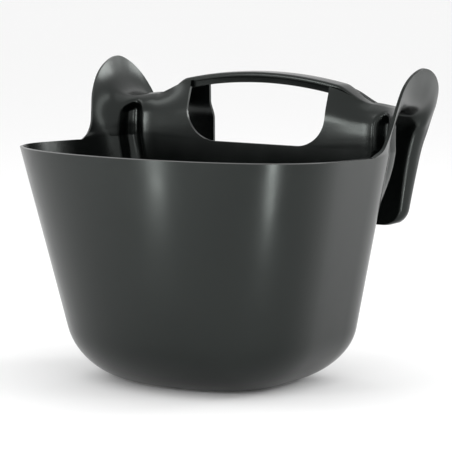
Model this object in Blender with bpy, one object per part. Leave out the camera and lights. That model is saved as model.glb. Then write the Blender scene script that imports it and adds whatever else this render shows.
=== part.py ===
"""Hook-over feed bucket: a bow-front bowl with two over-board hooks and a handle between them.

Metres, +Z up, front towards -Y. The origin lies under the middle of the whole part, on the floor.
"""

import math

import bmesh
import bpy
from mathutils import Vector

# Bowl
RIM_HALF_WIDTH = 0.180
RIM_DEPTH = 0.246
RIM_HEIGHT = 0.237
RIM_DIP = 0.010
SIDE_DRAFT = 0.054
FRONT_DRAFT = 0.046
BACK_DRAFT = 0.0018
BASE_RADIUS = 0.052
WIDEST_FRACTION = 0.47
FRONT_POWER_X = 1.98
FRONT_POWER_Y = 2.65
WALL = 0.003

# Rear corners of the bowl
CORNER_START_X = 0.128
CORNER_END_Y = 0.062
SEAM_LEVEL = 0.2295

# Half-round groove beside each rear corner
GROOVE_X = 0.154
GROOVE_HALF_WIDTH = 0.0135
GROOVE_DEPTH = 0.011
GROOVE_FADE_LOW = 0.165
GROOVE_FADE_HIGH = 0.220
GROOVE_END_LOW = 0.245
GROOVE_END_HIGH = 0.275

# Panel and hand opening
OPENING_HALF_WIDTH = 0.0845
OPENING_FLAT_HALF = 0.050
OPENING_CORNER_TOP = 0.262
PANEL_TOP_INNER = 0.290
PANEL_TOP_OUTER = 0.2755
PANEL_TOP_STATION = 5.4
PANEL_LEAN = 0.0092
PANEL_LEAN_LOW = 0.256
PANEL_LEAN_HIGH = 0.296

# Hooks
LEG_BOTTOM = 0.148
LEG_BOTTOM_RADIUS = 0.017
LEG_CORNER_RADIUS = 0.0065
REAR_FIN_Y = 0.040

# Handle bar
BAR_TOP = 0.302
BAR_SAG = 1.1
BAR_HEIGHT = 0.0105
BAR_FRONT_Y = 0.0095
BAR_REAR_Y = 0.0305
BAR_END_X = 0.1265
BAR_ROOT_TOP = 0.2755

GAP = 0.0003

FLOOR_COLOUR = (0.022, 0.026, 0.025, 1.0)
SHELL_COLOUR = (0.024, 0.028, 0.027, 1.0)


def clear_scene():
    for obj in list(bpy.data.objects):
        bpy.data.objects.remove(obj)


def material(name, colour, roughness):
    made = bpy.data.materials.new(name)
    made.use_nodes = True
    shader = made.node_tree.nodes["Principled BSDF"]
    shader.inputs["Base Color"].default_value = colour
    shader.inputs["Roughness"].default_value = roughness
    shader.inputs["Metallic"].default_value = 0.0
    return made


def smoothstep(low, high, value):
    part = min(max((value - low) / (high - low), 0.0), 1.0)
    return part * part * (3.0 - 2.0 * part)


# ---------------------------------------------------------------- bowl surface


def wall_plan(z):
    """Half width, front, back and widest line of the outline at height z."""
    fall = (RIM_HEIGHT - z) / RIM_HEIGHT
    half_width = RIM_HALF_WIDTH - SIDE_DRAFT * fall
    front = -RIM_DEPTH + FRONT_DRAFT * fall
    back = -BACK_DRAFT * fall
    widest = back + (front - back) * WIDEST_FRACTION
    return half_width, front, back, widest


def cubic(points, part):
    """Point on the cubic Bezier curve of four control points."""
    rest = 1.0 - part
    weights = (rest**3, 3 * rest * rest * part, 3 * rest * part * part, part**3)
    total = Vector((0.0, 0.0, 0.0))
    for weight, point in zip(weights, points):
        total += weight * Vector(point)
    return total


def corner_guides(z):
    """Control points of the rounded rear corner at height z."""
    half_width, front, back, widest = wall_plan(z)
    corner_x = half_width * CORNER_START_X / RIM_HALF_WIDTH
    corner_y = back + (widest - back) * CORNER_END_Y / (RIM_DEPTH * WIDEST_FRACTION)
    start = (corner_x, back, z)
    near_back = (half_width * 0.9, back, z)
    near_side = (half_width, back + corner_y * 0.19, z)
    end = (half_width - 0.0003, corner_y, z)
    return start, near_back, near_side, end


def outline_point(turn, z):
    """Right half of the outline: turn 0 back centre, 1 corner start, 2 corner end, 3 widest, 4 front."""
    half_width, front, back, widest = wall_plan(z)
    guides = corner_guides(z)
    if turn <= 1.0:
        return Vector((guides[0][0] * turn, back, z))
    if turn <= 2.0:
        return cubic(guides, turn - 1.0)
    if turn <= 3.0:
        part = turn - 2.0
        corner_y = guides[3][1]
        return Vector((half_width - 0.0003 * (1.0 - part) ** 2, corner_y + (widest - corner_y) * part, z))
    angle = (turn - 3.0) * math.pi / 2
    x = half_width * max(math.cos(angle), 0.0) ** (2 / FRONT_POWER_X)
    y = widest + (front - widest) * math.sin(angle) ** (2 / FRONT_POWER_Y)
    return Vector((x, y, z))


def plan_normal(before, after):
    """Outward direction in plan, from two points along the outline."""
    along = after - before
    return Vector((-along.y, along.x, 0.0)).normalized()


def groove_push(point):
    """How far the half-round groove pushes the wall out at this point."""
    if point.y < -0.035:
        return 0.0
    centre = GROOVE_X
    if point.z < SEAM_LEVEL:
        centre = GROOVE_X * wall_plan(point.z)[0] / wall_plan(SEAM_LEVEL)[0]
    across = (point.x - centre) / GROOVE_HALF_WIDTH
    if abs(across) >= 1.0:
        return 0.0
    rise = smoothstep(GROOVE_FADE_LOW, GROOVE_FADE_HIGH, point.z)
    end = 1.0 - smoothstep(GROOVE_END_LOW, GROOVE_END_HIGH, point.z)
    return GROOVE_DEPTH * rise * end * math.cos(across * math.pi / 2) ** 1.2


def wall_point(turn, z):
    """Outer face of the wall, with its groove."""
    point = outline_point(turn, z)
    if turn <= 1.0 or turn >= 2.0:
        return point
    low = max(turn - 0.004, 1.0)
    high = min(turn + 0.004, 2.0)
    return point + plan_normal(outline_point(low, z), outline_point(high, z)) * groove_push(point)


def floor_point(turn):
    """Edge of the flat floor on the right half, one base radius inside the walls."""
    half_width, front, back, widest = wall_plan(0.0)
    middle = (front + back) / 2
    across = (half_width - BASE_RADIUS) / half_width
    along = ((back - front) / 2 - BASE_RADIUS) / ((back - front) / 2)
    point = outline_point(turn, 0.0)
    return Vector((point.x * across, middle + (point.y - middle) * along, 0.0))


def bowl_point(turn, level):
    """Outer surface of the bowl on the right half; level is the height, unrolled through the base radius."""
    if level >= BASE_RADIUS:
        return wall_point(turn, level)
    angle = (BASE_RADIUS - level) / BASE_RADIUS * math.pi / 2
    z = BASE_RADIUS * (1.0 - math.sin(angle))
    point = outline_point(turn, z)
    return point + (floor_point(turn) - outline_point(turn, 0.0)) * (1.0 - math.cos(angle))


def mirrored(surface):
    """The same surface for turns -4 to 4, negative turns being the left half."""

    def both(turn, level):
        point = surface(abs(turn), level)
        return point if turn >= 0.0 else Vector((-point.x, point.y, point.z))

    return both


def rim_level(turn):
    """Height of the rim, which dips a little from front to back."""
    y = outline_point(abs(turn), RIM_HEIGHT).y
    level = RIM_HEIGHT - RIM_DIP * (y + RIM_DEPTH) / RIM_DEPTH
    return SEAM_LEVEL + (level - SEAM_LEVEL) * smoothstep(2.0, 2.25, abs(turn))


# ---------------------------------------------------------------- hook surface

# Guide curves of the right hook, from the rim of the bowl over the crest and down the leg:
# each station runs from the saddle side to the free outer lip.
HOOK_STATIONS = (
    corner_guides(SEAM_LEVEL),
    ((0.1278, 0.0000, 0.2375), (0.157, 0.0002, 0.2375), (0.1755, -0.0110, 0.2375), (0.1802, -0.0490, 0.2350)),
    ((0.1281, 0.0004, 0.2475), (0.153, 0.0008, 0.2475), (0.1745, -0.0100, 0.2465), (0.1815, -0.0410, 0.2450)),
    ((0.1285, 0.0018, 0.2580), (0.152, 0.0022, 0.2580), (0.1750, -0.0080, 0.2560), (0.1840, -0.0360, 0.2590)),
    ((0.1290, 0.0060, 0.2660), (0.153, 0.0070, 0.2655), (0.1765, -0.0020, 0.2610), (0.1866, -0.0305, 0.2770)),
    ((0.1300, 0.0120, 0.2710), (0.155, 0.0125, 0.2700), (0.1780, 0.0050, 0.2590), (0.1880, -0.0200, 0.2950)),
    ((0.1306, 0.0160, 0.2722), (0.157, 0.0165, 0.2715), (0.1800, 0.0120, 0.2560), (0.1889, -0.0040, 0.3068)),
    ((0.1308, 0.0205, 0.2727), (0.158, 0.0210, 0.2720), (0.1810, 0.0200, 0.2540), (0.1900, 0.0165, 0.3120)),
    ((0.1302, 0.0275, 0.2712), (0.156, 0.0280, 0.2700), (0.1800, 0.0300, 0.2540), (0.1890, 0.0370, 0.3050)),
    ((0.1292, 0.0350, 0.2668), (0.153, 0.0355, 0.2655), (0.1775, 0.0375, 0.2540), (0.1848, 0.0525, 0.2915)),
    ((0.1282, 0.0400, 0.2600), (0.151, 0.0405, 0.2590), (0.1750, 0.0425, 0.2520), (0.1780, 0.0610, 0.2750)),
    ((0.1272, 0.0445, 0.2515), (0.149, 0.0448, 0.2505), (0.1715, 0.0455, 0.2490), (0.1715, 0.0635, 0.2600)),
    ((0.1260, 0.0470, 0.2430), (0.146, 0.0470, 0.2430), (0.1658, 0.0470, 0.2425), (0.1662, 0.0635, 0.2450)),
    ((0.1250, 0.0470, 0.2270), (0.143, 0.0470, 0.2270), (0.1605, 0.0470, 0.2270), (0.1605, 0.0620, 0.2270)),
    ((0.1240, 0.0470, 0.2000), (0.140, 0.0470, 0.2000), (0.1552, 0.0470, 0.2000), (0.1550, 0.0600, 0.2000)),
    ((0.1230, 0.0470, 0.1720), (0.137, 0.0470, 0.1720), (0.1505, 0.0470, 0.1720), (0.1500, 0.0580, 0.1720)),
    ((0.1220, 0.0470, 0.1480), (0.134, 0.0470, 0.1480), (0.1465, 0.0470, 0.1480), (0.1460, 0.0565, 0.1480)),
)
CREST_STATION = 7.0
GROOVE_LAST_STATION = 5.5
LEG_TOP_STATION = 11.0
LAST_STATION = len(HOOK_STATIONS) - 1.0


def catmull(points, place):
    """Point on the smooth curve through the points; place counts whole points from the first."""
    last = len(points) - 1
    index = min(int(place), last - 1)
    part = place - index
    p1 = Vector(points[index])
    p2 = Vector(points[index + 1])
    p0 = Vector(points[index - 1]) if index > 0 else p1 * 2 - p2
    p3 = Vector(points[index + 2]) if index + 2 <= last else p2 * 2 - p1
    linear = (p2 - p0) * part
    square = (p0 * 2 - p1 * 5 + p2 * 4 - p3) * part**2
    cube = (p1 * 3 - p0 - p2 * 3 + p3) * part**3
    return (p1 * 2 + linear + square + cube) * 0.5


def bottom_inset(z):
    """How far the leg's outer side draws in at its rounded bottom corner."""
    drop = min(max(LEG_BOTTOM + LEG_BOTTOM_RADIUS - z, 0.0), LEG_BOTTOM_RADIUS)
    return LEG_BOTTOM_RADIUS - math.sqrt(LEG_BOTTOM_RADIUS**2 - drop**2)


def leg_section(guides, across):
    """Flat web, tight corner and straight flank of the leg, by length along the section."""
    inset = Vector((bottom_inset(guides[2].z), 0.0, 0.0))
    start = guides[0]
    corner = guides[2] - inset
    end = guides[3] - inset
    to_start = (start - corner).normalized()
    to_end = (end - corner).normalized()
    web = (start - corner).length - LEG_CORNER_RADIUS
    flank = (end - corner).length - LEG_CORNER_RADIUS
    arc = LEG_CORNER_RADIUS * math.pi / 2
    run = across * (web + arc + flank)
    if run <= web:
        return start - to_start * run
    if run >= web + arc:
        return corner + to_end * (LEG_CORNER_RADIUS + run - web - arc)
    angle = (run - web) / LEG_CORNER_RADIUS
    centre = corner + (to_start + to_end) * LEG_CORNER_RADIUS
    return centre - (to_end * math.cos(angle) + to_start * math.sin(angle)) * LEG_CORNER_RADIUS


def hook_curve(across, station):
    """Board side of the right hook before its groove; across 0 at the saddle side, 1 at the lip."""
    guides = [catmull([row[k] for row in HOOK_STATIONS], station) for k in range(4)]
    soft = cubic(guides, across)
    sharpness = smoothstep(9.4, 12.0, station)
    if sharpness == 0.0:
        return soft
    return soft.lerp(leg_section(guides, across), sharpness)


def hook_point(across, station):
    """Board side of the right hook; across below 0 runs on from the saddle side to the hand opening."""
    if across < 0.0:
        start = hook_curve(0.0, station)
        return start.lerp(Vector((OPENING_HALF_WIDTH, start.y, start.z)), -across)
    point = hook_curve(across, station)
    if station > GROOVE_LAST_STATION:
        return point
    low = max(across - 0.004, 0.0)
    high = min(across + 0.004, 1.0)
    return point + plan_normal(hook_curve(low, station), hook_curve(high, station)) * groove_push(point)


def hook_inner_point(across, station):
    """Other face of the hook's sheet."""
    sampled = min(max(across, -0.998), 0.998)
    along = min(max(station, 0.002), LAST_STATION - 0.002)
    return hook_point(across, station) + surface_normal(hook_point, sampled, along) * WALL


# ---------------------------------------------------------------- sheets


def surface_normal(surface, a, b):
    """Unit normal of the surface, on the side where its two directions turn right-handed."""
    step = 1e-3
    along_a = surface(a + step, b) - surface(a - step, b)
    along_b = surface(a, b + step) - surface(a, b - step)
    return along_a.cross(along_b).normalized()


def pull_in(rows, amount):
    """Moves the border points of a grid inwards along the sheet, which leaves the gap to the next piece."""
    height = len(rows)
    width = len(rows[0])
    moved = [list(row) for row in rows]
    for i in range(height):
        moved[i][0] = rows[i][0] + (rows[i][1] - rows[i][0]).normalized() * amount
        moved[i][-1] = rows[i][-1] + (rows[i][-2] - rows[i][-1]).normalized() * amount
    for j in range(width):
        moved[0][j] = moved[0][j] + (rows[1][j] - rows[0][j]).normalized() * amount
        moved[-1][j] = moved[-1][j] + (rows[-2][j] - rows[-1][j]).normalized() * amount
    return moved


def add_object(name, mesh_data, collection, look):
    mesh = bpy.data.meshes.new(name)
    mesh_data.normal_update()
    bmesh.ops.recalc_face_normals(mesh_data, faces=mesh_data.faces)
    mesh_data.to_mesh(mesh)
    mesh_data.free()
    for polygon in mesh.polygons:
        polygon.use_smooth = True
    obj = bpy.data.objects.new(name, mesh)
    obj.data.materials.append(look)
    collection.objects.link(obj)
    return obj


def sheet_object(name, outer, inner, collection, look):
    """Closed sheet between two grids of the same size."""
    mesh_data = bmesh.new()
    height = len(outer)
    width = len(outer[0])
    a = [[mesh_data.verts.new(point) for point in row] for row in outer]
    b = [[mesh_data.verts.new(point) for point in row] for row in inner]
    for i in range(height - 1):
        for j in range(width - 1):
            mesh_data.faces.new((a[i][j], a[i][j + 1], a[i + 1][j + 1], a[i + 1][j]))
            mesh_data.faces.new((b[i][j], b[i + 1][j], b[i + 1][j + 1], b[i][j + 1]))
    for j in range(width - 1):
        mesh_data.faces.new((a[0][j], b[0][j], b[0][j + 1], a[0][j + 1]))
        mesh_data.faces.new((a[-1][j], a[-1][j + 1], b[-1][j + 1], b[-1][j]))
    for i in range(height - 1):
        mesh_data.faces.new((a[i][0], a[i + 1][0], b[i + 1][0], b[i][0]))
        mesh_data.faces.new((a[i][-1], b[i][-1], b[i + 1][-1], a[i + 1][-1]))
    return add_object(name, mesh_data, collection, look)


def span(low, high, count):
    return [low + (high - low) * k / count for k in range(count + 1)]


def mirror_rows(rows):
    return [[Vector((-point.x, point.y, point.z)) for point in row] for row in rows]


def bowl_sheet(name, turns, low, high, count, collection, look):
    """Piece of the bowl wall over these turns, from level low up to high, or to the rim if high is None."""
    surface = mirrored(bowl_point)
    outer = []
    inner = []
    for k in range(count + 1):
        outer_row = []
        inner_row = []
        for turn in turns:
            top = rim_level(turn) if high is None else high
            level = low + (top - low) * k / count
            point = surface(turn, level)
            outer_row.append(point)
            if high is None and k == count and abs(turn) <= 2.0:
                inner_row.append(seam_inner_point(turn))
            else:
                inner_row.append(point + inward_normal(turn, level) * WALL)
        outer.append(outer_row)
        inner.append(inner_row)
    half = GAP / 2
    return sheet_object(name, pull_in(outer, half), pull_in(inner, half), collection, look)


def seam_inner_point(turn):
    """Inner face at the top of the side wall, shared with the foot of the ear."""
    point = hook_inner_point(abs(turn) - 1.0, 0.0)
    return point if turn >= 0.0 else Vector((-point.x, point.y, point.z))


def inward_normal(turn, level):
    """Unit normal of the bowl wall, towards its inside."""
    surface = mirrored(bowl_point)
    step = 2e-3
    low_level = max(level - 2e-4, 0.0)
    along_turn = surface(turn + step, level) - surface(turn - step, level)
    if abs(turn) >= 4.0 - step:
        along_turn = Vector((1.0, 0.0, 0.0))
    along_level = surface(turn, level + 2e-4) - surface(turn, low_level)
    normal = along_turn.cross(along_level).normalized()
    point = surface(turn, level)
    middle = Vector((0.0, -RIM_DEPTH / 2, RIM_HEIGHT))
    return normal if normal.dot(middle - point) > 0.0 else -normal


def base_dish(collection, look):
    """Flat floor with the rounded edge that leads up into the walls."""
    turns = [-4.0 + k * 0.125 for k in range(64)]
    levels = span(0.0, BASE_RADIUS, 7)
    surface = mirrored(bowl_point)
    mesh_data = bmesh.new()
    outer = []
    inner = []
    for level in levels:
        lowered = level - GAP / 2 if level == levels[-1] else level
        outer_ring = [surface(turn, lowered) for turn in turns]
        inner_ring = []
        for turn, point in zip(turns, outer_ring):
            normal = Vector((0.0, 0.0, 1.0)) if level == 0.0 else inward_normal(turn, lowered)
            inner_ring.append(point + normal * WALL)
        outer.append([mesh_data.verts.new(point) for point in outer_ring])
        inner.append([mesh_data.verts.new(point) for point in inner_ring])
    count = len(turns)
    for k in range(len(levels) - 1):
        for j in range(count):
            n = (j + 1) % count
            mesh_data.faces.new((outer[k][j], outer[k][n], outer[k + 1][n], outer[k + 1][j]))
            mesh_data.faces.new((inner[k][j], inner[k + 1][j], inner[k + 1][n], inner[k][n]))
    for j in range(count):
        n = (j + 1) % count
        mesh_data.faces.new((outer[-1][j], outer[-1][n], inner[-1][n], inner[-1][j]))
    mesh_data.faces.new(list(reversed(outer[0])))
    mesh_data.faces.new(inner[0])
    return add_object("base_dish", mesh_data, collection, look)


# ---------------------------------------------------------------- panel, hooks and handle


def opening_edge(z):
    """Half width of the hand opening at height z, with its rounded lower corners."""
    if z >= OPENING_CORNER_TOP:
        return OPENING_HALF_WIDTH
    drop = min((OPENING_CORNER_TOP - z) / (OPENING_CORNER_TOP - SEAM_LEVEL), 1.0)
    return OPENING_FLAT_HALF + (OPENING_HALF_WIDTH - OPENING_FLAT_HALF) * math.sqrt(1.0 - drop * drop)


def fin_top(x):
    part = (x - OPENING_HALF_WIDTH) / (CORNER_START_X - OPENING_HALF_WIDTH)
    return PANEL_TOP_INNER + (PANEL_TOP_OUTER - PANEL_TOP_INNER) * smoothstep(-0.6, 1.15, part)


def panel_point(part_up, part_across):
    """Right front panel, up from the rim level and across from the hook to the hand opening."""
    station = PANEL_TOP_STATION * part_up
    near_hook = hook_point(0.0, station)
    start, near = [catmull([row[k] for row in HOOK_STATIONS], station) for k in range(2)]
    low_z = OPENING_CORNER_TOP - (OPENING_CORNER_TOP - SEAM_LEVEL) * math.cos(min(part_up, 0.5) * math.pi)
    high_z = (PANEL_TOP_INNER - OPENING_CORNER_TOP) * max(part_up * 2.0 - 1.0, 0.0)
    z = low_z + high_z
    y = wall_plan(z)[2] + PANEL_LEAN * smoothstep(PANEL_LEAN_LOW, PANEL_LEAN_HIGH, z)
    near_opening = Vector((opening_edge(z), y, z))
    third = (near_hook - near_opening).length / 3
    chord = (near_opening - near_hook).normalized()
    leave = (start - near).normalized().lerp(chord, 0.8 * part_up**2)
    guides = (near_hook, near_hook + leave * third, near_opening + Vector((third, 0.0, 0.0)), near_opening)
    return cubic(guides, part_across)


def panel_object(name, mirror, collection, look):
    outer = []
    inner = []
    for part_up in span(0.0, 1.0, 14):
        places = span(1.0, 0.0, 8)
        outer.append([panel_point(part_up, place) for place in places])
        sampled_up = min(max(part_up, 0.002), 0.998)
        normals = [surface_normal(panel_point, sampled_up, place) for place in places[:-1]]
        inner_row = [point + normal * WALL for point, normal in zip(outer[-1], normals)]
        inner_row.append(hook_inner_point(0.0, PANEL_TOP_STATION * part_up))
        inner.append(inner_row)
    outer = pull_in(outer, GAP / 2)
    inner = pull_in(inner, GAP / 2)
    if mirror:
        outer = mirror_rows(outer)
        inner = mirror_rows(inner)
    return sheet_object(name, outer, inner, collection, look)


def hook_sheet(name, across, stations, mirror, collection, look):
    """Piece of the hook between these places across and along it."""
    outer = []
    inner = []
    for station in stations:
        outer.append([hook_point(place, station) for place in across])
        inner.append([hook_inner_point(place, station) for place in across])
    outer = pull_in(outer, GAP / 2)
    inner = pull_in(inner, GAP / 2)
    if mirror:
        outer = mirror_rows(outer)
        inner = mirror_rows(inner)
    return sheet_object(name, outer, inner, collection, look)


def rear_fin(name, mirror, collection, look):
    """Upright fin that carries the leg sheet up beside the handle root."""
    outer = []
    bottom = hook_point(0.0, LEG_TOP_STATION)
    for i in range(7):
        row = []
        for part in span(0.0, 1.0, 6):
            x = OPENING_HALF_WIDTH + (0.1265 - OPENING_HALF_WIDTH) * part
            top = fin_top(x) - 0.001
            z = bottom.z + (top - bottom.z) * i / 6
            y = bottom.y + (REAR_FIN_Y - bottom.y) * smoothstep(bottom.z - 0.004, bottom.z + 0.014, z)
            row.append(Vector((x, y, z)))
        outer.append(row)
    foot = surface_normal(hook_point, -0.5, LEG_TOP_STATION)
    inner = []
    for i, row in enumerate(outer):
        normal = foot.lerp(Vector((0.0, 1.0, 0.0)), min(i / 2, 1.0)).normalized()
        inner.append([point + normal * WALL for point in row])
    outer = pull_in(outer, GAP / 2)
    inner = pull_in(inner, GAP / 2)
    if mirror:
        outer = mirror_rows(outer)
        inner = mirror_rows(inner)
    return sheet_object(name, outer, inner, collection, look)


def bar_top(x):
    """Top line of the handle: a shallow arch that runs down into the saddles at its ends."""
    arch = BAR_TOP - BAR_SAG * x * x
    return arch + (BAR_ROOT_TOP - arch) * smoothstep(0.092, 0.130, abs(x))


def handle_bar(collection, look):
    """Arched channel, open underneath, that forms the hand grip."""
    mesh_data = bmesh.new()
    round_off = 0.003
    rings = []
    for x in span(-BAR_END_X, BAR_END_X, 40):
        tuck = smoothstep(0.090, 0.125, abs(x))
        y0 = BAR_FRONT_Y + 0.0085 * tuck
        y1 = BAR_REAR_Y - 0.0030 * tuck
        top = bar_top(x)
        low = top - BAR_HEIGHT * (1.0 - 0.35 * smoothstep(0.095, 0.122, abs(x)))
        section = [
            (y0, low),
            (y0, top - round_off),
            (y0 + round_off * 0.3, top - round_off * 0.3),
            (y0 + round_off, top),
            (y1 - round_off, top),
            (y1 - round_off * 0.3, top - round_off * 0.3),
            (y1, top - round_off),
            (y1, low),
            (y1 - WALL, low),
            (y1 - WALL, top - WALL),
            (y0 + WALL, top - WALL),
            (y0 + WALL, low),
        ]
        rings.append([mesh_data.verts.new((x, y, z)) for y, z in section])
    count = len(rings[0])
    for first, second in zip(rings, rings[1:]):
        for j in range(count):
            n = (j + 1) % count
            mesh_data.faces.new((first[j], first[n], second[n], second[j]))
    mesh_data.faces.new(rings[0])
    mesh_data.faces.new(list(reversed(rings[-1])))
    bmesh.ops.triangulate(mesh_data, faces=[face for face in mesh_data.faces if len(face.verts) > 4])
    return add_object("handle_bar", mesh_data, collection, look)


def centre_over_origin(collection):
    """Moves every piece together, so that the origin lies under the middle of the whole part."""
    depths = [vertex.co.y for obj in collection.objects for vertex in obj.data.vertices]
    shift = -(min(depths) + max(depths)) / 2
    for obj in collection.objects:
        for vertex in obj.data.vertices:
            vertex.co.y += shift


def build():
    clear_scene()
    collection = bpy.data.collections.new("feed_bucket")
    bpy.context.scene.collection.children.link(collection)
    shell = material("anthracite_shell", SHELL_COLOUR, 0.32)
    floor = material("anthracite_floor", FLOOR_COLOUR, 0.36)
    grip = material("anthracite_grip", SHELL_COLOUR, 0.34)

    base_dish(collection, floor)
    front_turns = span(3.5, 4.0, 6)
    front_turns = front_turns + [-turn for turn in reversed(front_turns[:-1])]
    bowl_sheet("front_wall", front_turns, BASE_RADIUS, None, 8, collection, shell)
    for side, name in ((1.0, "right"), (-1.0, "left")):
        side_turns = span(3.5, 3.0, 5)[:-1] + span(3.0, 2.0, 4)[:-1] + span(2.0, 1.0, 18)
        bowl_sheet("side_wall_" + name, [side * t for t in side_turns], BASE_RADIUS, None, 8, collection, shell)
    back_turns = span(-1.0, 1.0, 4)
    bowl_sheet("back_wall", back_turns, BASE_RADIUS, SEAM_LEVEL, 4, collection, shell)
    for mirror, name in ((False, "right"), (True, "left")):
        panel_object("panel_" + name, mirror, collection, shell)
        ear_stations = span(0.0, CREST_STATION, 24)
        hook_sheet("ear_" + name, span(0.0, 1.0, 18), ear_stations, mirror, collection, shell)
        saddle_stations = span(CREST_STATION, LEG_TOP_STATION, 14)
        hook_sheet("hook_saddle_" + name, span(0.0, 1.0, 14), saddle_stations, mirror, collection, shell)
        leg_across = span(-1.0, 0.0, 2)[:-1] + span(0.0, 1.0, 14)
        hook_sheet("hook_leg_" + name, leg_across, span(LEG_TOP_STATION, LAST_STATION, 12), mirror, collection, shell)
        rear_fin("rear_fin_" + name, mirror, collection, shell)
    handle_bar(collection, grip)
    centre_over_origin(collection)


build()
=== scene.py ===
"""Feed bucket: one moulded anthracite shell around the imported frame, with its hand grip."""

import math

import bmesh
import bpy
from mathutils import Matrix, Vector


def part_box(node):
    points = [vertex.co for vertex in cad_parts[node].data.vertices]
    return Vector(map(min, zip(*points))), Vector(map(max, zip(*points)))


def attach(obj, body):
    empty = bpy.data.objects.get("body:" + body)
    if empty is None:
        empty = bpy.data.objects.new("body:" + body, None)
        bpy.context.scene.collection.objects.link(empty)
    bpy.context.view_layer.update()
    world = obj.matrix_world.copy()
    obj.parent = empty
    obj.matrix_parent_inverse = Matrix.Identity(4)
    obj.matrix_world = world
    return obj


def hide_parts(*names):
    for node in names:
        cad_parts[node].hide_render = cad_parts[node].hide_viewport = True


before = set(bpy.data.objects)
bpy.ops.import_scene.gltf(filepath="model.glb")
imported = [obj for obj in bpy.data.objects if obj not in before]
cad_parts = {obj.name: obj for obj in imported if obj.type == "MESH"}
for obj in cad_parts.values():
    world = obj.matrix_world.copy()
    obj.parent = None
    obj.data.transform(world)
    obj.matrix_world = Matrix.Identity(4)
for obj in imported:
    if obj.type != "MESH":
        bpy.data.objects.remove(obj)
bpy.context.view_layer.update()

# Bowl, in metres
RIM_HALF_WIDTH = 0.180
RIM_DEPTH = 0.246
RIM_HEIGHT = 0.237
RIM_DIP = 0.010
SIDE_DRAFT = 0.054
FRONT_DRAFT = 0.046
BACK_DRAFT = 0.0018
BASE_RADIUS = 0.052
WIDEST_FRACTION = 0.47
FRONT_POWER_X = 1.98
FRONT_POWER_Y = 2.65
WALL = 0.003
EDGE_RADIUS = 0.0009

# Rear corners
CORNER_START_X = 0.128
CORNER_END_Y = 0.062
SEAM_LEVEL = 0.2295

# Half-round groove in each rear corner
GROOVE_X = 0.154
GROOVE_DEPTH = 0.0125
GROOVE_ARCH_LEVEL = 0.254
GROOVE_FLOOR_RADIUS = 0.0088
GROOVE_RIDGE_RADIUS = 0.0030
GROOVE_FADE_LOW = 0.150
GROOVE_FADE_HIGH = 0.220
GROOVE_FLANK_DEGREES = 60.0
GROOVE_LAST_STATION = 5.5
GROOVE_FRONT_LIMIT = -0.035

# Hand opening and its panels
OPENING_HALF_WIDTH = 0.0845
OPENING_FLAT_HALF = 0.050
OPENING_CORNER_TOP = 0.262
PANEL_TOP_INNER = 0.290
PANEL_LEAN = 0.0092
PANEL_LEAN_LOW = 0.256
PANEL_LEAN_HIGH = 0.296
PANEL_ROWS = 65
ROWS_PER_STATION = 12
PANEL_COLUMNS = 18

# Fins behind the handle
FIN_TOP_INNER = 0.2885
FIN_TOP_STATION = 8.0
FIN_Y = 0.040
FIN_STEP_LOW = 0.247
FIN_STEP_HIGH = 0.267
LEG_TOP_STATION = 11.0
LEG_ROWS = 40
LEG_FACE_Y = 0.047
LEG_CORNER_RADIUS = 0.0110
LEG_BOTTOM = 0.148
LEG_BOTTOM_RADIUS = 0.017

# Handle bar
BAR_TOP = 0.302
BAR_SAG = 1.1
BAR_HEIGHT = 0.0108
BAR_FRONT_Y = 0.0092
BAR_REAR_Y = 0.0305
BAR_END_X = 0.1335
BAR_ROOT_TOP = 0.2742
BAR_ROOT_START_X = 0.092
BAR_ROOT_END_X = 0.1315
BAR_FRONT_TUCK = 0.0062
BAR_REAR_TUCK = 0.0030

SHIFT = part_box("front_wall")[0].y + RIM_DEPTH


# ---------------------------------------------------------------- shape of the bowl


def smoothstep(low, high, value):
    part = min(max((value - low) / (high - low), 0.0), 1.0)
    return part * part * (3.0 - 2.0 * part)


def span(low, high, count):
    return [low + (high - low) * k / count for k in range(count + 1)]


def cubic(points, part):
    """Point on the cubic Bezier curve of four control points."""
    rest = 1.0 - part
    weights = (rest**3, 3 * rest * rest * part, 3 * rest * part * part, part**3)
    total = Vector((0.0, 0.0, 0.0))
    for weight, point in zip(weights, points):
        total += weight * Vector(point)
    return total


def wall_plan(z):
    """Half width, front, back and widest line of the outline at height z."""
    fall = (RIM_HEIGHT - z) / RIM_HEIGHT
    half_width = RIM_HALF_WIDTH - SIDE_DRAFT * fall
    front = -RIM_DEPTH + FRONT_DRAFT * fall
    back = -BACK_DRAFT * fall
    widest = back + (front - back) * WIDEST_FRACTION
    return half_width, front, back, widest


def corner_guides(z):
    """Control points of the rounded rear corner at height z."""
    half_width, _, back, widest = wall_plan(z)
    corner_x = half_width * CORNER_START_X / RIM_HALF_WIDTH
    corner_y = back + (widest - back) * CORNER_END_Y / (RIM_DEPTH * WIDEST_FRACTION)
    start = (corner_x, back, z)
    near_back = (half_width * 0.9, back, z)
    near_side = (half_width, back + corner_y * 0.19, z)
    end = (half_width - 0.0003, corner_y, z)
    return start, near_back, near_side, end


def outline_point(turn, z):
    """Right half of the outline: turn 0 back centre, 1 corner start, 2 corner end, 3 widest, 4 front."""
    half_width, front, back, widest = wall_plan(z)
    guides = corner_guides(z)
    if turn <= 1.0:
        return Vector((guides[0][0] * turn, back, z))
    if turn <= 2.0:
        return cubic(guides, turn - 1.0)
    if turn <= 3.0:
        part = turn - 2.0
        corner_y = guides[3][1]
        return Vector((half_width - 0.0003 * (1.0 - part) ** 2, corner_y + (widest - corner_y) * part, z))
    angle = (turn - 3.0) * math.pi / 2
    x = half_width * max(math.cos(angle), 0.0) ** (2 / FRONT_POWER_X)
    y = widest + (front - widest) * math.sin(angle) ** (2 / FRONT_POWER_Y)
    return Vector((x, y, z))


def plan_normal(before, after):
    """Outward direction in plan, from two points along the outline."""
    along = after - before
    return Vector((-along.y, along.x, 0.0)).normalized()


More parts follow.
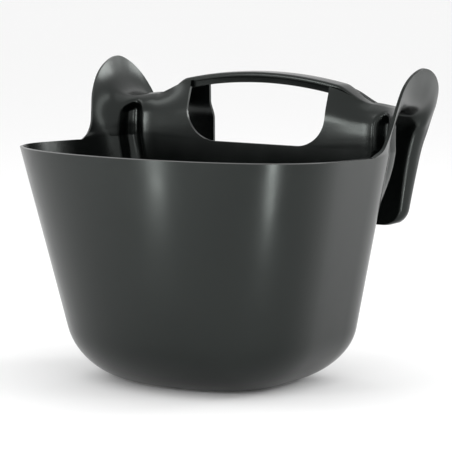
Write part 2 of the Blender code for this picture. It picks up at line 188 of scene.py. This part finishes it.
def groove_profile(offset):
    """Depth of the groove at this distance from its middle: round floor, steep flank, small ridge."""
    steep = math.radians(GROOVE_FLANK_DEGREES)
    floor_end = GROOVE_FLOOR_RADIUS * math.sin(steep)
    floor_depth = GROOVE_DEPTH - GROOVE_FLOOR_RADIUS * (1.0 - math.cos(steep))
    ridge_run = GROOVE_RIDGE_RADIUS * math.sin(steep)
    ridge_drop = GROOVE_RIDGE_RADIUS * (1.0 - math.cos(steep))
    flank_run = (floor_depth - ridge_drop) / math.tan(steep)
    if offset <= floor_end:
        return GROOVE_DEPTH - GROOVE_FLOOR_RADIUS + math.sqrt(GROOVE_FLOOR_RADIUS**2 - offset**2)
    if offset <= floor_end + flank_run:
        return floor_depth - (offset - floor_end) * math.tan(steep)
    left = floor_end + flank_run + ridge_run - offset
    if left <= 0.0:
        return 0.0
    return GROOVE_RIDGE_RADIUS - math.sqrt(GROOVE_RIDGE_RADIUS**2 - left**2)


def groove_push(point):
    """How far the groove pushes the sheet out here; its upper end is a round arch."""
    if point.y < GROOVE_FRONT_LIMIT:
        return 0.0
    centre = GROOVE_X
    if point.z < SEAM_LEVEL:
        centre = GROOVE_X * wall_plan(point.z)[0] / wall_plan(SEAM_LEVEL)[0]
    offset = math.hypot(point.x - centre, max(point.z - GROOVE_ARCH_LEVEL, 0.0))
    return groove_profile(offset) * smoothstep(GROOVE_FADE_LOW, GROOVE_FADE_HIGH, point.z)


def wall_point(turn, z):
    """Outer face of the wall, with its groove."""
    point = outline_point(turn, z)
    if turn < 1.0 or turn > 2.0:
        return point
    push = groove_push(point)
    if push == 0.0:
        return point
    normal = plan_normal(outline_point(turn - 0.004, z), outline_point(turn + 0.004, z))
    return point + normal * push


def floor_point(turn):
    """Edge of the flat floor, one base radius inside the walls."""
    half_width, front, back, _ = wall_plan(0.0)
    middle = (front + back) / 2
    across = (half_width - BASE_RADIUS) / half_width
    along = ((back - front) / 2 - BASE_RADIUS) / ((back - front) / 2)
    point = outline_point(turn, 0.0)
    return Vector((point.x * across, middle + (point.y - middle) * along, 0.0))


def bowl_point(turn, level):
    """Outer face of the bowl; level is the height, unrolled through the base radius."""
    if level >= BASE_RADIUS:
        return wall_point(turn, level)
    angle = (BASE_RADIUS - level) / BASE_RADIUS * math.pi / 2
    z = BASE_RADIUS * (1.0 - math.sin(angle))
    return outline_point(turn, z) + (floor_point(turn) - outline_point(turn, 0.0)) * (1.0 - math.cos(angle))


def rim_level(turn):
    """Height of the rim, which dips a little from front to back."""
    if turn <= 2.0:
        return SEAM_LEVEL
    y = outline_point(turn, RIM_HEIGHT).y
    level = RIM_HEIGHT - RIM_DIP * (y + RIM_DEPTH) / RIM_DEPTH
    return SEAM_LEVEL + (level - SEAM_LEVEL) * smoothstep(2.0, 2.25, turn)


# ---------------------------------------------------------------- shape of the hooks

# Guide curves of the right hook, up from the rim, over the crest and down the leg.
# Each station runs from the saddle side to the free outer lip.
HOOK_STATIONS = (
    corner_guides(SEAM_LEVEL),
    ((0.1278, 0.0000, 0.2375), (0.157, 0.0002, 0.2375), (0.1755, -0.0110, 0.2375), (0.1802, -0.0490, 0.2350)),
    ((0.1281, 0.0004, 0.2475), (0.153, 0.0008, 0.2475), (0.1745, -0.0100, 0.2465), (0.1815, -0.0410, 0.2450)),
    ((0.1285, 0.0018, 0.2580), (0.152, 0.0022, 0.2580), (0.1750, -0.0080, 0.2560), (0.1840, -0.0360, 0.2590)),
    ((0.1290, 0.0060, 0.2660), (0.153, 0.0070, 0.2655), (0.1765, -0.0020, 0.2610), (0.1866, -0.0305, 0.2770)),
    ((0.1300, 0.0120, 0.2710), (0.155, 0.0125, 0.2700), (0.1780, 0.0050, 0.2590), (0.1880, -0.0200, 0.2950)),
    ((0.1306, 0.0160, 0.2722), (0.157, 0.0165, 0.2715), (0.1800, 0.0120, 0.2560), (0.1889, -0.0040, 0.3068)),
    ((0.1308, 0.0205, 0.2727), (0.158, 0.0210, 0.2720), (0.1810, 0.0200, 0.2540), (0.1900, 0.0165, 0.3120)),
    ((0.1302, 0.0275, 0.2712), (0.156, 0.0280, 0.2700), (0.1800, 0.0300, 0.2540), (0.1890, 0.0370, 0.3050)),
    ((0.1292, 0.0350, 0.2668), (0.153, 0.0355, 0.2655), (0.1775, 0.0375, 0.2540), (0.1848, 0.0525, 0.2915)),
    ((0.1282, 0.0400, 0.2600), (0.151, 0.0405, 0.2590), (0.1750, 0.0425, 0.2520), (0.1780, 0.0610, 0.2750)),
    ((0.1272, 0.0445, 0.2515), (0.149, 0.0448, 0.2505), (0.1715, 0.0455, 0.2490), (0.1715, 0.0635, 0.2600)),
    ((0.1260, 0.0470, 0.2430), (0.146, 0.0470, 0.2430), (0.1658, 0.0470, 0.2425), (0.1662, 0.0635, 0.2450)),
    ((0.1250, 0.0470, 0.2270), (0.143, 0.0470, 0.2270), (0.1605, 0.0470, 0.2270), (0.1605, 0.0620, 0.2270)),
    ((0.1240, 0.0470, 0.2000), (0.140, 0.0470, 0.2000), (0.1552, 0.0470, 0.2000), (0.1550, 0.0600, 0.2000)),
    ((0.1230, 0.0470, 0.1720), (0.137, 0.0470, 0.1720), (0.1505, 0.0470, 0.1720), (0.1500, 0.0580, 0.1720)),
    ((0.1220, 0.0470, 0.1480), (0.134, 0.0470, 0.1480), (0.1465, 0.0470, 0.1480), (0.1460, 0.0565, 0.1480)),
)
LAST_STATION = len(HOOK_STATIONS) - 1.0


def catmull(points, place):
    """Point on the smooth curve through the points; place counts whole points from the first."""
    last = len(points) - 1
    index = min(int(place), last - 1)
    part = place - index
    p1 = Vector(points[index])
    p2 = Vector(points[index + 1])
    p0 = Vector(points[index - 1]) if index > 0 else p1 * 2 - p2
    p3 = Vector(points[index + 2]) if index + 2 <= last else p2 * 2 - p1
    linear = (p2 - p0) * part
    square = (p0 * 2 - p1 * 5 + p2 * 4 - p3) * part**2
    cube = (p1 * 3 - p0 - p2 * 3 + p3) * part**3
    return (p1 * 2 + linear + square + cube) * 0.5


def bottom_inset(z):
    """How far the leg's outer side draws in at its rounded bottom corner."""
    drop = min(max(LEG_BOTTOM + LEG_BOTTOM_RADIUS - z, 0.0), LEG_BOTTOM_RADIUS)
    return LEG_BOTTOM_RADIUS - math.sqrt(LEG_BOTTOM_RADIUS**2 - drop**2)


def leg_section(guides, across):
    """Flat web, tight corner and straight flank of the leg, by length along the section."""
    start = guides[0]
    corner = guides[2]
    end = guides[3]
    inset = Vector((bottom_inset(corner.z), 0.0, 0.0))
    corner = corner - inset
    end = end - inset
    to_start = (start - corner).normalized()
    to_end = (end - corner).normalized()
    radius = min(LEG_CORNER_RADIUS, (end - corner).length * 0.85)
    web = (start - corner).length - radius
    flank = (end - corner).length - radius
    arc = radius * math.pi / 2
    run = across * (web + arc + flank)
    if run <= web:
        return start - to_start * run
    if run >= web + arc:
        return corner + to_end * (radius + run - web - arc)
    angle = (run - web) / radius
    centre = corner + (to_start + to_end) * radius
    return centre - to_end * math.cos(angle) * radius - to_start * math.sin(angle) * radius


def hook_curve(across, station):
    """Board side of the right hook before its groove; across 0 at the saddle side, 1 at the lip."""
    guides = [catmull([row[k] for row in HOOK_STATIONS], station) for k in range(4)]
    soft = cubic(guides, across)
    sharpness = smoothstep(9.4, 12.0, station)
    if sharpness == 0.0:
        return soft
    return soft.lerp(leg_section(guides, across), sharpness)


def hook_point(across, station):
    """Board side of the right hook, with the upper end of its groove."""
    point = hook_curve(across, station)
    if station > GROOVE_LAST_STATION:
        return point
    push = groove_push(point)
    if push == 0.0:
        return point
    low = max(across - 0.004, 0.0)
    high = min(across + 0.004, 1.0)
    return point + plan_normal(hook_curve(low, station), hook_curve(high, station)) * push


# ---------------------------------------------------------------- shell


def mirror_point(point):
    return Vector((-point.x, point.y, point.z))


def add_grid(mesh_data, grid, flip):
    """Adds a grid of points as faces, on the right half and mirrored on the left."""
    for side in (False, True):
        verts = [[mesh_data.verts.new(mirror_point(p) if side else p) for p in row] for row in grid]
        for i in range(len(verts) - 1):
            for j in range(len(verts[0]) - 1):
                loop = [verts[i][j], verts[i][j + 1], verts[i + 1][j + 1], verts[i + 1][j]]
                if side != flip:
                    loop.reverse()
                mesh_data.faces.new(loop)


def corner_steps():
    """Places round the rear corner, closer together across the groove."""
    return span(0.0, 0.06, 3)[:-1] + span(0.06, 0.56, 42)[:-1] + span(0.56, 1.0, 16)


def bowl_grid():
    """Base radius and walls, with the back wall split where the hand opening's flat edge ends."""
    flat_end = OPENING_FLAT_HALF / outline_point(1.0, SEAM_LEVEL).x
    turns = span(0.0, flat_end, 6)[:-1] + span(flat_end, 1.0, 18)[:-1]
    turns += [1.0 + step for step in corner_steps()][:-1]
    turns += span(2.0, 3.0, 14)[:-1] + span(3.0, 4.0, 44)
    grid = []
    for level in span(0.0, BASE_RADIUS, 16)[:-1]:
        grid.append([bowl_point(turn, level) for turn in turns])
    for part in span(0.0, 1.0, 34):
        row = []
        for turn in turns:
            top = rim_level(turn)
            row.append(bowl_point(turn, BASE_RADIUS + (top - BASE_RADIUS) * part))
        grid.append(row)
    return grid


def floor_grid(edge):
    """Flat floor, shrunk in rings from its edge to a narrow slot on the centre line."""
    middle = (edge[0].y + edge[-1].y) / 2
    grid = []
    for part in span(1.0, 0.0, 6):
        row = []
        for point in edge:
            row.append(Vector((point.x * part, middle + (point.y - middle) * part, 0.0)))
        grid.append(row)
    grid.reverse()
    return grid


def opening_edge(z):
    """Half width of the hand opening at height z, with its rounded lower corners."""
    if z >= OPENING_CORNER_TOP:
        return OPENING_HALF_WIDTH
    drop = min((OPENING_CORNER_TOP - z) / (OPENING_CORNER_TOP - SEAM_LEVEL), 1.0)
    return OPENING_FLAT_HALF + (OPENING_HALF_WIDTH - OPENING_FLAT_HALF) * math.sqrt(1.0 - drop * drop)


def hook_side_tangent(station):
    """Direction in which the hook's sheet leaves its saddle side, towards the middle."""
    start, near = [catmull([row[k] for row in HOOK_STATIONS], station) for k in range(2)]
    return (start - near).normalized()


def bridge(near_hook, tangent, near_opening, part, rise):
    """Line from the hook's sheet across to the hand opening; the nearer rise is to 1, the straighter it runs."""
    third = (near_hook - near_opening).length / 3
    chord = (near_opening - near_hook).normalized()
    leave = tangent.lerp(chord, 0.8 * rise)
    arrive = Vector((third, 0.0, -0.15 * third * rise))
    return cubic((near_hook, near_hook + leave * third, near_opening + arrive, near_opening), part)


def panel_grid():
    """Upright panel between the hand opening and the hook."""
    grid = []
    parts = span(0.0, 1.0, PANEL_COLUMNS)
    for part_up in span(0.0, 1.0, PANEL_ROWS):
        station = PANEL_ROWS / ROWS_PER_STATION * part_up
        angle = min(part_up * 2.0, 1.0) * math.pi / 2
        corner_z = OPENING_CORNER_TOP - (OPENING_CORNER_TOP - SEAM_LEVEL) * math.cos(angle)
        high_z = OPENING_CORNER_TOP + (PANEL_TOP_INNER - OPENING_CORNER_TOP) * (part_up * 2.0 - 1.0)
        z = corner_z if part_up < 0.5 else high_z
        lean = wall_plan(z)[2] + PANEL_LEAN * smoothstep(PANEL_LEAN_LOW, PANEL_LEAN_HIGH, z)
        near_opening = Vector((opening_edge(z), lean, z))
        near_hook = hook_point(0.0, station)
        tangent = hook_side_tangent(station)
        grid.append([bridge(near_hook, tangent, near_opening, part, part_up**2) for part in parts])
    return grid


def leg_face_y(z):
    """The leg's front face steps back as it rises past the slot."""
    return LEG_FACE_Y - (LEG_FACE_Y - FIN_Y) * smoothstep(FIN_STEP_LOW, FIN_STEP_HIGH, z)


def fin_grid():
    """Fin that carries the leg's sheet up behind the handle."""
    grid = []
    parts = span(0.0, 1.0, PANEL_COLUMNS)
    foot = hook_point(0.0, LEG_TOP_STATION)
    rows = round((LEG_TOP_STATION - FIN_TOP_STATION) * ROWS_PER_STATION)
    for part_up in span(0.0, 1.0, rows):
        station = LEG_TOP_STATION + (FIN_TOP_STATION - LEG_TOP_STATION) * part_up
        z = foot.z + (FIN_TOP_INNER - foot.z) * part_up
        near_opening = Vector((OPENING_HALF_WIDTH, leg_face_y(z), z))
        near_hook = hook_point(0.0, station)
        tangent = hook_side_tangent(station)
        grid.append([bridge(near_hook, tangent, near_opening, part, part_up**2) for part in parts])
    return grid


def leg_web_grid():
    """Flat web of the leg on the side of the hand opening."""
    grid = []
    parts = span(0.0, 1.0, PANEL_COLUMNS)
    for station in span(LEG_TOP_STATION, LAST_STATION, LEG_ROWS):
        near_hook = hook_point(0.0, station)
        near_opening = Vector((OPENING_HALF_WIDTH, leg_face_y(near_hook.z), near_hook.z))
        tangent = hook_side_tangent(station)
        grid.append([bridge(near_hook, tangent, near_opening, part, 0.0) for part in parts])
    return grid


def hook_grid():
    """Ears, saddles and legs, from the rim of the bowl to the end of the legs."""
    across = corner_steps()
    stations = span(0.0, LEG_TOP_STATION, round(LEG_TOP_STATION * ROWS_PER_STATION))[:-1]
    stations += span(LEG_TOP_STATION, LAST_STATION, LEG_ROWS)
    return [[hook_point(place, station) for place in across] for station in stations]


def build_shell():
    """One sheet for the bowl, panels, hooks and legs, thickened inwards."""
    mesh_data = bmesh.new()
    bowl = bowl_grid()
    add_grid(mesh_data, bowl, False)
    add_grid(mesh_data, floor_grid(bowl[0]), False)
    add_grid(mesh_data, hook_grid(), False)
    add_grid(mesh_data, panel_grid(), True)
    add_grid(mesh_data, fin_grid(), False)
    add_grid(mesh_data, leg_web_grid(), True)
    bmesh.ops.remove_doubles(mesh_data, verts=mesh_data.verts, dist=2e-5)
    bmesh.ops.dissolve_degenerate(mesh_data, edges=mesh_data.edges, dist=1e-6)
    bmesh.ops.recalc_face_normals(mesh_data, faces=mesh_data.faces)
    mesh_data.faces.ensure_lookup_table()
    lowest = min(mesh_data.faces, key=lambda face: face.calc_center_median().z)
    if lowest.normal.z > 0.0:
        bmesh.ops.reverse_faces(mesh_data, faces=mesh_data.faces)
    return finish_mesh("bucket_shell", mesh_data)


def finish_mesh(name, mesh_data):
    bmesh.ops.translate(mesh_data, verts=mesh_data.verts, vec=(0.0, SHIFT, 0.0))
    mesh = bpy.data.meshes.new(name)
    mesh_data.to_mesh(mesh)
    mesh_data.free()
    for polygon in mesh.polygons:
        polygon.use_smooth = True
    obj = bpy.data.objects.new(name, mesh)
    bpy.context.scene.collection.objects.link(obj)
    return obj


def thicken(obj):
    solid = obj.modifiers.new("wall", "SOLIDIFY")
    solid.thickness = WALL
    solid.offset = -1.0
    solid.use_even_offset = True
    solid.use_quality_normals = True
    bevel = obj.modifiers.new("edges", "BEVEL")
    bevel.width = EDGE_RADIUS
    bevel.segments = 3
    bevel.limit_method = "ANGLE"
    bevel.angle_limit = math.radians(55.0)
    bevel.harden_normals = False
    weighted = obj.modifiers.new("shading", "WEIGHTED_NORMAL")
    weighted.keep_sharp = False
    weighted.weight = 60


# ---------------------------------------------------------------- handle bar


def bar_top(x):
    """Top line of the handle: a shallow arch that runs down into the saddles at its ends."""
    arch = BAR_TOP - BAR_SAG * x * x
    return arch + (BAR_ROOT_TOP - arch) * smoothstep(BAR_ROOT_START_X, BAR_ROOT_END_X, abs(x))


def bar_section(x):
    """Closed section: rounded top, a fine ledge along both faces, open channel underneath."""
    top = bar_top(x)
    low = top - BAR_HEIGHT * (1.0 - 0.45 * smoothstep(0.095, 0.122, abs(x)))
    ledge = (top + low) / 2 - 0.0004
    tuck = smoothstep(0.090, 0.130, abs(x))
    y0 = BAR_FRONT_Y + BAR_FRONT_TUCK * tuck
    y1 = BAR_REAR_Y - BAR_REAR_TUCK * tuck
    round_off = 0.0024
    inset = 0.0007
    section = [(y0 + inset, low + 0.0004), (y0 + inset, ledge), (y0, ledge + 0.0006), (y0, top - round_off)]
    for k in range(1, 6):
        angle = k / 6 * math.pi / 2
        section.append((y0 + round_off * (1 - math.cos(angle)), top - round_off * (1 - math.sin(angle))))
    section.append((y0 + round_off, top))
    middle = (y0 + y1) / 2
    section.append((middle, top + 0.0004))
    section.append((y1 - round_off, top))
    for k in range(5, 0, -1):
        angle = k / 6 * math.pi / 2
        section.append((y1 - round_off * (1 - math.cos(angle)), top - round_off * (1 - math.sin(angle))))
    section += [(y1, top - round_off), (y1, ledge + 0.0006), (y1 - inset, ledge), (y1 - inset, low + 0.0004)]
    section += [(y1 - inset - 0.0005, low), (y1 - WALL + 0.0005, low), (y1 - WALL, low + 0.0005)]
    section += [(y1 - WALL, top - WALL - 0.001), (y1 - WALL - 0.001, top - WALL)]
    section += [(y0 + WALL + 0.001, top - WALL), (y0 + WALL, top - WALL - 0.001)]
    section += [(y0 + WALL, low + 0.0005), (y0 + WALL - 0.0005, low), (y0 + inset + 0.0005, low)]
    return section


def build_bar():
    mesh_data = bmesh.new()
    rings = []
    for x in span(-BAR_END_X, BAR_END_X, 160):
        rings.append([mesh_data.verts.new((x, y, z)) for y, z in bar_section(x)])
    count = len(rings[0])
    for first, second in zip(rings, rings[1:]):
        for j in range(count):
            n = (j + 1) % count
            mesh_data.faces.new((first[j], first[n], second[n], second[j]))
    mesh_data.faces.new(rings[0])
    mesh_data.faces.new(list(reversed(rings[-1])))
    bmesh.ops.recalc_face_normals(mesh_data, faces=mesh_data.faces)
    bar = finish_mesh("handle_bar", mesh_data)
    weighted = bar.modifiers.new("shading", "WEIGHTED_NORMAL")
    weighted.weight = 60
    return bar


# ---------------------------------------------------------------- material


def moulded_plastic(name):
    """Satin anthracite: slight colour drift, a painted highlight of lighter colour along sharp convex edges
    (patchy through noise, and rougher there), fine moulded grain and faint flow waves.
    """
    made = bpy.data.materials.new(name)
    made.use_nodes = True
    tree = made.node_tree
    shader = tree.nodes["Principled BSDF"]
    shader.inputs["Metallic"].default_value = 0.0
    shader.inputs["IOR"].default_value = 1.42
    shader.inputs["Specular Tint"].default_value = (0.92, 1.0, 0.96, 1.0)
    place = tree.nodes.new("ShaderNodeTexCoord")

    drift = tree.nodes.new("ShaderNodeTexNoise")
    drift.inputs["Scale"].default_value = 9.0
    drift.inputs["Detail"].default_value = 4.0
    tree.links.new(place.outputs["Object"], drift.inputs["Vector"])
    body = tree.nodes.new("ShaderNodeValToRGB")
    body.color_ramp.elements[0].position = 0.32
    body.color_ramp.elements[0].color = (0.0013, 0.0017, 0.0016, 1.0)
    body.color_ramp.elements[1].position = 0.70
    body.color_ramp.elements[1].color = (0.0024, 0.0031, 0.0029, 1.0)
    tree.links.new(drift.outputs["Fac"], body.inputs["Fac"])

    # Painted highlight: sharp convex edges (high pointiness) get a lighter colour, broken up by noise, to stand
    # in for the bright lines along lips and ridges.
    surface = tree.nodes.new("ShaderNodeNewGeometry")
    edge = tree.nodes.new("ShaderNodeValToRGB")
    edge.color_ramp.elements[0].position = 0.53
    edge.color_ramp.elements[1].position = 0.62
    edge.color_ramp.elements[0].color = (0.0, 0.0, 0.0, 1.0)
    edge.color_ramp.elements[1].color = (1.0, 1.0, 1.0, 1.0)
    tree.links.new(surface.outputs["Pointiness"], edge.inputs["Fac"])
    edge_highlight_noise = tree.nodes.new("ShaderNodeTexNoise")
    edge_highlight_noise.inputs["Scale"].default_value = 140.0
    edge_highlight_noise.inputs["Detail"].default_value = 5.0
    tree.links.new(place.outputs["Object"], edge_highlight_noise.inputs["Vector"])
    painted_edge_highlight = tree.nodes.new("ShaderNodeMath")
    painted_edge_highlight.operation = "MULTIPLY"
    tree.links.new(edge.outputs["Color"], painted_edge_highlight.inputs[0])
    tree.links.new(edge_highlight_noise.outputs["Fac"], painted_edge_highlight.inputs[1])
    # The lighter colour of the painted edge highlight, mixed in over the body colour.
    colour = tree.nodes.new("ShaderNodeMix")
    colour.data_type = "RGBA"
    colour.inputs["B"].default_value = (0.030, 0.034, 0.032, 1.0)
    tree.links.new(painted_edge_highlight.outputs[0], colour.inputs["Factor"])
    tree.links.new(body.outputs["Color"], colour.inputs["A"])
    tree.links.new(colour.outputs["Result"], shader.inputs["Base Color"])

    gloss = tree.nodes.new("ShaderNodeTexNoise")
    gloss.inputs["Scale"].default_value = 26.0
    gloss.inputs["Detail"].default_value = 6.0
    tree.links.new(place.outputs["Object"], gloss.inputs["Vector"])
    rough = tree.nodes.new("ShaderNodeMapRange")
    rough.inputs["From Min"].default_value = 0.3
    rough.inputs["From Max"].default_value = 0.7
    rough.inputs["To Min"].default_value = 0.20
    rough.inputs["To Max"].default_value = 0.27
    tree.links.new(gloss.outputs["Fac"], rough.inputs["Value"])
    rougher = tree.nodes.new("ShaderNodeMath")
    rougher.operation = "MULTIPLY_ADD"
    rougher.inputs[1].default_value = 0.12
    tree.links.new(painted_edge_highlight.outputs[0], rougher.inputs[0])
    tree.links.new(rough.outputs["Result"], rougher.inputs[2])
    tree.links.new(rougher.outputs[0], shader.inputs["Roughness"])

    grain = tree.nodes.new("ShaderNodeTexNoise")
    grain.inputs["Scale"].default_value = 1100.0
    grain.inputs["Detail"].default_value = 2.0
    tree.links.new(place.outputs["Object"], grain.inputs["Vector"])
    fine = tree.nodes.new("ShaderNodeBump")
    fine.inputs["Strength"].default_value = 0.12
    fine.inputs["Distance"].default_value = 0.0001
    tree.links.new(grain.outputs["Fac"], fine.inputs["Height"])
    flow = tree.nodes.new("ShaderNodeTexNoise")
    flow.inputs["Scale"].default_value = 22.0
    flow.inputs["Detail"].default_value = 1.0
    tree.links.new(place.outputs["Object"], flow.inputs["Vector"])
    waves = tree.nodes.new("ShaderNodeBump")
    waves.inputs["Strength"].default_value = 0.22
    waves.inputs["Distance"].default_value = 0.0008
    tree.links.new(flow.outputs["Fac"], waves.inputs["Height"])
    tree.links.new(fine.outputs["Normal"], waves.inputs["Normal"])
    tree.links.new(waves.outputs["Normal"], shader.inputs["Normal"])
    return made


# ---------------------------------------------------------------- stage, light and camera


def build_floor():
    mesh_data = bmesh.new()
    bmesh.ops.create_circle(mesh_data, cap_ends=True, segments=96, radius=9.0)
    mesh = bpy.data.meshes.new("stage_floor")
    mesh_data.to_mesh(mesh)
    mesh_data.free()
    floor = bpy.data.objects.new("stage_floor", mesh)
    bpy.context.scene.collection.objects.link(floor)
    paint = bpy.data.materials.new("stage_paint")
    paint.use_nodes = True
    shader = paint.node_tree.nodes["Principled BSDF"]
    shader.inputs["Base Color"].default_value = (0.93, 0.93, 0.93, 1.0)
    shader.inputs["Roughness"].default_value = 0.9
    shader.inputs["Specular IOR Level"].default_value = 0.1
    mesh.materials.append(paint)


def soft_light(name, place, target, size_x, size_y, power):
    data = bpy.data.lights.new(name, "AREA")
    data.shape = "RECTANGLE"
    data.size = size_x
    data.size_y = size_y
    data.energy = power
    lamp = bpy.data.objects.new(name, data)
    bpy.context.scene.collection.objects.link(lamp)
    lamp.location = place
    lamp.visible_camera = False
    lamp.rotation_euler = (Vector(target) - Vector(place)).to_track_quat("-Z", "Y").to_euler()


def build_lights():
    world = bpy.data.worlds.new("studio")
    world.use_nodes = True
    back = world.node_tree.nodes["Background"]
    back.inputs["Color"].default_value = (1.0, 1.0, 1.0, 1.0)
    back.inputs["Strength"].default_value = 1.0
    bpy.context.scene.world = world
    centre = (0.0, 0.0, 0.2)
    soft_light("overhead", (0.0, 0.2, 1.9), (0.0, 0.0, 0.1), 1.6, 1.2, 3.0)
    soft_light("strip_left", (-1.3, -0.5, 0.9), centre, 0.35, 1.4, 4.0)
    soft_light("strip_right", (1.5, 0.3, 0.9), centre, 0.35, 1.4, 4.0)
    soft_light("wall_strip_left", (-0.095, -0.505, 0.055), (0.05, -0.15, 0.11), 0.035, 0.10, 0.15)
    soft_light("wall_strip_right", (0.385, -0.262, 0.055), (0.144, -0.104, 0.11), 0.035, 0.10, 0.25)
    soft_light("leg_strip", (0.16, -0.95, 0.25), (0.14, 0.10, 0.25), 0.10, 0.5, 1.2)
    soft_light("ear_glow", (1.0, 1.25, 0.50), centre, 0.5, 0.5, 9.0)
    soft_light("panel_strip", (-0.55, -1.0, 0.32), (0.1, 0.1, 0.26), 0.18, 0.35, 2.5)


def build_camera():
    azimuth = math.radians(34.0)
    pitch = math.radians(7.77)
    roll = math.radians(-0.32)
    right = Vector((math.cos(azimuth), math.sin(azimuth), 0.0))
    level = math.cos(pitch)
    back = Vector((math.sin(azimuth) * level, -math.cos(azimuth) * level, math.sin(pitch)))
    up = back.cross(right)
    target = Vector((0.0, -0.099 + SHIFT, 0.15503)) + right * 0.02431
    place = target + back * 2.52828
    turned_right = right * math.cos(roll) + up * math.sin(roll)
    turned_up = up * math.cos(roll) - right * math.sin(roll)
    data = bpy.data.cameras.new("camera")
    data.sensor_width = 36.0
    data.lens = 201.5
    data.clip_end = 50.0
    camera = bpy.data.objects.new("camera", data)
    bpy.context.scene.collection.objects.link(camera)
    basis = camera.matrix_world.copy()
    for k in range(3):
        basis[k][0] = turned_right[k]
        basis[k][1] = turned_up[k]
        basis[k][2] = back[k]
        basis[k][3] = place[k]
    camera.matrix_world = basis
    bpy.context.scene.camera = camera


shell = build_shell()
thicken(shell)
bar = build_bar()
plastic = moulded_plastic("moulded_anthracite")
shell.data.materials.append(plastic)
bar.data.materials.append(plastic)

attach(shell, "root")
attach(bar, "root")
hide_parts("handle_bar")
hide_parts(*[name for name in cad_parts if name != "handle_bar"])

build_floor()
build_lights()
build_camera()
bpy.context.scene.view_settings.view_transform = "Standard"
